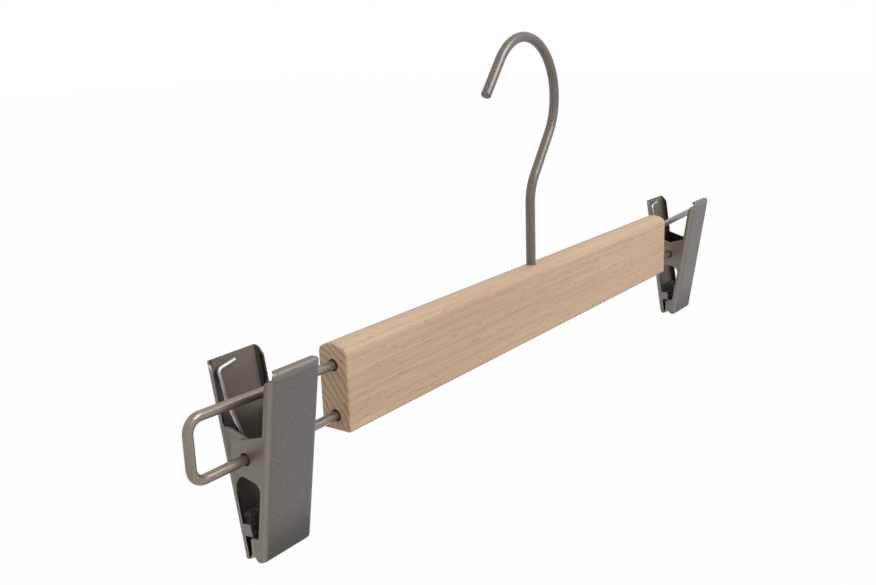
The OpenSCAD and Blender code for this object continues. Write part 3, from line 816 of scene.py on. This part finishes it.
def traySkin(c, front):
    # outer skin of plate, bends and walls: each row runs from a wall's free edge, in steps that shorten
    # towards the bend, round the bend and over the plate to the jaw's middle line
    half, reach, r = c["width"] / 2, c["reach"], c["bend"]
    edge = densified(sideOutline(c, front), c["rowStep"])
    inwards, level = edge[:, :1], edge[:, 1:]
    t = 1 - (1 - np.linspace(0, 1, 14)[None]) ** 2
    wall = np.stack(np.broadcast_arrays(half, inwards * (1 - t) + (reach - r) * t, level), -1)
    q = np.radians(np.linspace(0, 90, 9))[None, 1:]
    bend = np.stack(np.broadcast_arrays(half - r * (1 - np.cos(q)), reach - r + r * np.sin(q), level), -1)
    across = (half - r) * (1 - np.linspace(0, 1, 7)[None, 1:])
    plate = np.stack(np.broadcast_arrays(across, reach, level), -1)
    skin = np.concatenate([wall, bend, plate], 1)
    # the top gives way to the rounded corners, those of the wall and those seen from the front
    x, u, s = skin[..., 0], skin[..., 1], skin[..., 2]
    top, inner = edge[-1, 1], reach - c["flange"]
    curve = c["frontRound"] if front else c["rearRound"]
    fall = rounding(inner + curve - u, 0, curve)
    if not front:
        fall += rounding(x, half - c["rearCorner"], c["rearCorner"])
        skin[..., 0] -= setIn(c, u, s)
    skin[..., 2] -= fall * np.clip((s - (top - c["topFade"])) / c["topFade"], 0, 1)
    rows, cols = skin.shape[:2]
    quads = gridQuads(rows, cols)
    points = np.concatenate([skin.reshape(-1, 3), (skin * [-1, 1, 1]).reshape(-1, 3)])
    return merged(points, np.concatenate([quads, quads[:, ::-1] + rows * cols]))


def thickened(points, quads, thick, offset, bore=None, width=0):
    # the skin given its sheet thickness, and the pivot's bore cut through both walls
    piece = writeMesh("sheet", shell(points, quads))
    solid = piece.modifiers.new("sheet", "SOLIDIFY")
    solid.thickness, solid.offset = thick * mm, offset
    if bore is None:
        return applied(piece)
    return drilled(piece, [writeMesh("bore", rod([-width, 0, 0], [width, 0, 0], bore, 48))])


def curlCorner(c, a):
    # share of the side bend's rounding that is left in the curl's ends, a degrees round from the plate
    return 1 - c["cornerLost"] * eased(-a, 0, c["cornerTurn"])


def curlSkin(c):
    # curl and folded hem; the hem's upper edge falls from peak to notch and back once a tooth, and the curl's
    # radius shrinks at its ends as the side bends fall back
    bite = biteEdge(c)
    half, r, mid = c["width"] / 2, c["bend"], c["bend"] - c["sheet"] / 2
    xs, side = np.linspace(-1, 1, 8 * c["teeth"] + 1), half - c["sheet"] / 2
    x = side * np.sin(np.pi / 2 * xs) * 0.5 + side * xs * 0.5
    top = bite[1] + c["hem"] - c["tooth"] * (1 - np.abs(2 * (((xs + 1) / 2 * c["teeth"]) % 1) - 1))
    a = np.linspace(0, -90 - c["curlRise"], 17)[:, None]
    radius = mid - rounding(np.abs(x), half - r, mid)[None] * curlCorner(c, a)
    u = c["reach"] - r + radius * np.cos(np.radians(a))
    s = -c["down"] + r + radius * np.sin(np.radians(a))
    t = np.linspace(0, 1, 4)[1:, None]
    foot = [np.concatenate([v, v[-1] + t * (b - v[-1])]) for v, b in ((u, bite[0]), (s, bite[1]))]
    t = np.linspace(0, 1, 6)[1:, None]
    height = bite[1] + t * (top - bite[1])
    u, s = np.concatenate([foot[0], biteReach(c, height)]), np.concatenate([foot[1], height])
    points = np.stack(np.broadcast_arrays(x, u, s), -1)
    return points.reshape(-1, 3), gridQuads(*points.shape[:2])[:, ::-1]


def lipSkin(c):
    # upper end of a front jaw: the sheet's middle goes up, round its bend and in, set back at its ends as the
    # side bends fall back. Both upper corners are rounded, and one end is notched
    half, mid = c["width"] / 2, c["bend"] - c["sheet"] / 2
    r, turnMid = c["lipBend"], c["lipBend"] - c["sheet"] / 2
    start, top, straightRows = c["up"] - c["drop"], c["up"], 3
    a = np.radians(np.linspace(0, 90, 17))
    straight = np.linspace(start, top - r, straightRows + 1)[:-1]
    height = np.concatenate([straight, top - r + r * np.sin(a), [top]])   # of the outer face
    slant = (c["drop"] - c["corner"]) / 2
    notched = np.interp(height, [start, start + slant], [half - c["sheet"] / 2, half - c["cut"]])
    notched -= rounding(height, top - c["corner"], c["corner"])
    low = -notched[:, None]
    high = (half - c["lipShort"] - rounding(height, top - c["corner"], c["corner"]))[:, None]
    x = (low + high) / 2 + (high - low) / 2 * np.sin(np.radians(np.linspace(-90, 90, 31)))[None]
    back = rounding(np.abs(x), half - c["bend"], mid)
    turn = np.concatenate([np.zeros(straightRows), a, [np.pi / 2]])[:, None]
    u = c["reach"] - c["sheet"] / 2 - back - turnMid * (1 - np.cos(turn))
    isStraight, bent = np.arange(len(turn))[:, None] < straightRows, top - r + turnMid * np.sin(turn)
    s = np.where(isStraight, height[:, None], bent) + 0 * x
    u[-1] -= c["lip"] - r
    points = np.stack([x, u, s], -1)
    return points.reshape(-1, 3), gridQuads(*points.shape[:2])


def cheekSkin(c, front):
    # side wall below the plate's foot: ruled from the foot's level down to the outline of the curl's end
    centre = np.array([c["reach"] - c["bend"], -c["down"] + c["bend"]])
    a = np.linspace(0, -90 - c["curlRise"] if front else -c["cheekTurn"], 15)[:, None]
    radius = c["bend"] - c["short"] - (c["bend"] - c["sheet"] / 2) * curlCorner(c, a)
    rim = centre + radius * np.column_stack([np.cos(np.radians(a)), np.sin(np.radians(a))])
    if front:
        rim = np.concatenate([rim, np.linspace(rim[-1], [gripReach(c, centre[1]), centre[1]], 4)[1:]])
    level = np.column_stack([np.linspace(rim[0, 0], rim[-1, 0], len(rim)), np.full(len(rim), centre[1])])
    t = np.linspace(0, 1, 4)[:, None, None]
    flat = level[None] * (1 - t) + rim[None] * t
    points = np.concatenate([np.full(flat.shape[:2] + (1,), c["width"] / 2 - c["sheet"] / 2), flat], -1)
    return points.reshape(-1, 3), gridQuads(*points.shape[:2])


def fromJaw(c, points, pivot, front):
    # a jaw's own x, distance, height turned by its tilt and set on the pivot; a front jaw faces -Y
    a = math.radians(c["tilt"])
    x, u, s = points.T
    y = u * math.cos(a) + s * math.sin(a)
    z = -u * math.sin(a) + s * math.cos(a)
    return np.column_stack([x, -y if front else y, z]) + pivot


def buildJaw(c, name, body, pivot, front):
    shells = [thickened(*traySkin(c, front), c["sheet"], -1, c["bore"], c["width"]),
              thickened(*curlSkin(c), c["sheet"], 0)]
    cheek, quads = cheekSkin(c, front)
    shells.append(thickened(cheek, quads, c["sheet"], 0))
    shells.append(thickened(cheek * [-1, 1, 1], quads[:, ::-1], c["sheet"], 0))
    if front:
        shells.append(thickened(*lipSkin(c), c["sheet"], 0))
    points, loops, sizes = joined(shells)
    x, u, s = points.T
    fromSide = c["width"] / 2 - np.abs(x) - (0 if front else setIn(c, u, s))
    place = np.column_stack([fromSide, c["reach"] - u, s])
    if front:
        place[-len(shells[-1][0]):, 1] = -1
    piece = writeMesh(name, (fromJaw(c, points, pivot, front), loops, sizes), 35, turnedOver=front)
    layer = piece.data.attributes.new("sheetPlace", "FLOAT_VECTOR", "POINT")
    layer.data.foreach_set("vector", place.astype(np.float32).ravel())
    dress(piece, clipSteel, body, "clip_sheet", body)


padShape = {
    "low": 18.4, "height": 9.1,       # upper edge below the pivot, and height
    "thin": 1.4, "thick": 2.6,        # at the upper and at the lower edge
    "stud": 1.9, "studHeight": 0.6,
    "rows": 3, "count": 5,            # of studs, and studs in a row
    "ease": 0.45,                     # rounding of the border
    "across": 81, "along": 61,        # points of the mesh
}


def buildPad(p, c, name, body, node, pivot, front):
    # thickness over the plate: a wedge, rounded off at its border, with a round stud in each cell
    half = c["width"] / 2 - c["bend"]
    x = np.linspace(-half, half, p["across"])[None]
    s = np.linspace(0, p["height"], p["along"])[:, None]
    border = np.minimum(np.minimum(x + half, half - x), np.minimum(s, p["height"] - s))
    wedge = p["thin"] + (p["thick"] - p["thin"]) * s / p["height"]
    blank = wedge * np.sqrt(1 - (1 - np.clip(border / p["ease"], 0, 1)) ** 2)
    cellX, cellS = 2 * half / p["count"], p["height"] / p["rows"]
    far = np.hypot((x + half) % cellX - cellX / 2, s % cellS - cellS / 2) / (p["stud"] / 2)
    stud = p["studHeight"] * np.sqrt(np.clip(1 - far ** 2, 0, 1))
    thick = blank + stud * (border > 0)
    points = np.stack(np.broadcast_arrays(x, c["reach"] - c["sheet"] - thick, -p["low"] - s), -1)
    rows, cols = points.shape[:2]
    # the border's points in order close the pad's back as one face
    over, up = np.arange(cols), np.arange(1, rows)
    edge = np.concatenate([over, up * cols + cols - 1, (rows - 1) * cols + over[-2::-1], up[-2::-1] * cols])
    points, loops, sizes = shell(points, gridQuads(rows, cols), [edge[::-1]])
    pad = writeMesh(name, (fromJaw(c, points, pivot, front), loops, sizes), smoothAngle=50, turnedOver=front)
    dress(pad, rubber, body, "clip_pad", node)


springShape = {
    "wire": 1.5, "coil": 3.4, "turnGap": 0.45, "turns": 5,
    "armRest": 17.5, "armOff": 1.0,                  # an arm's foot: height up the jaw, and room to it
    "armTop": 26.7, "armRise": 1.2,                  # its bend, and how far its turned-in end climbs
    "armHook": 7.3, "armSpread": 2.4, "armBend": 1.6,
    "armRoom": 0.1,     # between the wire and the jaw's sheet
    "tipEase": 0.25,
    "step": 0.16,       # between two points of the route
}


def springLine(k, c):
    # the rear arm from its tip to the coil, and half of the coil: a helix round the rail
    reach = c["reach"] - c["sheet"] - k["wire"] / 2 - k["armRoom"]
    tilt = math.radians(c["tilt"])

    def onJaw(u, s):
        return np.array([u * math.cos(tilt) + s * math.sin(tilt), -u * math.sin(tilt) + s * math.cos(tilt)])

    low, high = onJaw(reach - k["armOff"], k["armRest"]), onJaw(reach, k["armTop"])
    end = onJaw(reach, k["armTop"] + k["armRise"])
    lean = math.atan2(low[0], low[1]) - math.asin(k["coil"] / np.linalg.norm(low))
    turn = 2 * math.pi * k["turns"] + math.pi - 2 * lean
    width = (k["wire"] + k["turnGap"]) * turn / 2 / math.pi
    side = width / 2 + k["armSpread"]
    spots = (-side + k["armHook"], end), (-side, high), (-side, low)
    tip, corner, foot = (np.array([across, *place]) for across, place in spots)
    # the corner between arm and turned-in end is a curve of the second degree
    q = np.linspace(0, 1, 12)[:, None]
    one, two = (corner + k["armBend"] * unit(p - corner) for p in (tip, foot))
    curve = (1 - q) ** 2 * one + 2 * q * (1 - q) * corner + q ** 2 * two
    t = np.linspace(0, 0.5, 200)
    a = -lean - turn * t
    coil = np.column_stack([width * (t - 0.5), k["coil"] * np.cos(a), k["coil"] * np.sin(a)])
    line = evened(np.concatenate([[tip], curve, [foot], coil]), k["step"])
    # a running mean over 2 x 4 + 1 points takes the kinks out; both ends are carried on straight first
    extra = 4
    ahead = line[0] + (line[0] - line[1]) * np.arange(extra, 0, -1)[:, None]
    behind = line[-1] + (line[-1] - line[-2]) * np.arange(1, extra + 1)[:, None]
    mean = np.ones(2 * extra + 1) / (2 * extra + 1)
    longer = np.concatenate([ahead, line, behind])
    return np.column_stack([np.convolve(column, mean, "valid") for column in longer.T])


def buildSpring(k, c, name, carriage, jaws, pivot):
    line = springLine(k, c)
    tangent = np.gradient(line, axis=0)
    # square to the wire and, on the coil, away from its axis; where weak, as at the first strong point
    square, least = np.column_stack([np.zeros(len(line)), -tangent[:, 2], tangent[:, 1]]), 0.3
    weak = np.linalg.norm(square, axis=1) < least * np.linalg.norm(tangent, axis=1)
    square[weak] = square[np.argmax(~weak)]
    for front, jaw in ((True, jaws[0]), (False, jaws[1])):
        flip = np.array([-1, -1, 1]) if front else np.array([1, 1, 1])
        route, radius = easedEnds(line * flip + pivot, k["wire"] / 2, k["tipEase"], start=True, end=False)
        normal = readAt(np.linspace(0, 1, len(route)), np.linspace(0, 1, len(square)), square) * flip
        wire = tube(route, normal, radius, 16)
        half = writeMesh(name + ("Front" if front else "Rear"), wire, smoothAngle=40)
        dress(half, springZinc, None, "spring_wire", carriage)
        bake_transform(half)


for side in ("left", "right"):
    pivot = pivots[side + "_front_jaw_hinge"]
    for front, word in ((True, "front"), (False, "rear")):
        body = side + "_" + word + "_jaw"
        title = side + word.capitalize()
        buildJaw(clipShape, title + "JawSheet", body, pivot, front)
        buildPad(padShape, clipShape, title + "GripPad", body, side + "_" + word + "_pad", pivot, front)
    buildSpring(springShape, clipShape, side + "Spring", side + "_spring",
                (side + "_front_jaw", side + "_rear_jaw"), pivot)
    print(side, "clip made")

# floor, light and backdrop

studio = {
    "floorDrop": 0.16,      # m below the clips
    "floorHalf": 6.0,       # m, half of the floor's side
    "floorWhite": 0.99,     # share of plain white in what the camera sees of the floor
    "paper": 0.45,          # the floor's own shade, which lights the undersides
    "paperDim": 0.96,       # share of that shade in its darker clouds
    "paperWaves": 0.02,     # clouds per mm
    "ambient": 0.72,
    "key": 18.7, "keyPlace": (0.35, -1.2, 1.05), "keySize": 1.0,   # W and m
    "keyAim": (0, 0, -0.1),   # m
}


def makeFloor(s):
    half, low = s["floorHalf"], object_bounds()[0][2] - s["floorDrop"]
    mesh = bpy.data.meshes.new("floor")
    corners = [(-half, -half, low), (half, -half, low), (half, half, low), (-half, half, low)]
    mesh.from_pydata(corners, [], [(0, 1, 2, 3)])
    floor = bpy.data.objects.new("floor", mesh)
    scene.collection.objects.link(floor)
    f = Finish("floorPaper")
    dim = s["paper"] * s["paperDim"]
    colour = f.mixed(f.noise(f.places(), s["paperWaves"], 2.0), (s["paper"],) * 3, (dim,) * 3)
    paper = f.node("ShaderNodeBsdfDiffuse", {}, {"Color": colour})
    white = f.node("ShaderNodeEmission", {}, {"Color": (1, 1, 1, 1), "Strength": 1.0})
    both = f.node("ShaderNodeMixShader", {}, {0: f.whiteForView() * s["floorWhite"], 1: paper, 2: white})
    f.node("ShaderNodeOutputMaterial", {}, {"Surface": both})
    mesh.materials.append(f.material)
    floor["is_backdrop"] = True


def makeWorld(s):
    world = bpy.data.worlds.new("studio")
    scene.world = world
    world.use_nodes = True
    f = Finish("studio", world.node_tree)
    light, white = (f.node("ShaderNodeBackground", {}, {"Color": (1, 1, 1, 1), "Strength": v})
                    for v in (s["ambient"], 1.0))
    both = f.node("ShaderNodeMixShader", {}, {0: f.whiteForView(), 1: light, 2: white})
    f.node("ShaderNodeOutputWorld", {}, {"Surface": both})


def addLamp(name, place, size, power, target):
    data = bpy.data.lights.new(name, "AREA")
    data.shape, data.size, data.energy = "DISK", size, power
    lamp = bpy.data.objects.new(name, data)
    scene.collection.objects.link(lamp)
    look = unit(np.array(target) - np.array(place))
    right = unit(np.cross(look, [0, 0, 1.0]))
    lamp.matrix_world = seated(place, right, np.cross(right, look), look)


makeFloor(studio)
makeWorld(studio)
addLamp("keyLamp", studio["keyPlace"], studio["keySize"], studio["key"], studio["keyAim"])
scene.view_settings.view_transform = "Standard"
print("stage and lights made")
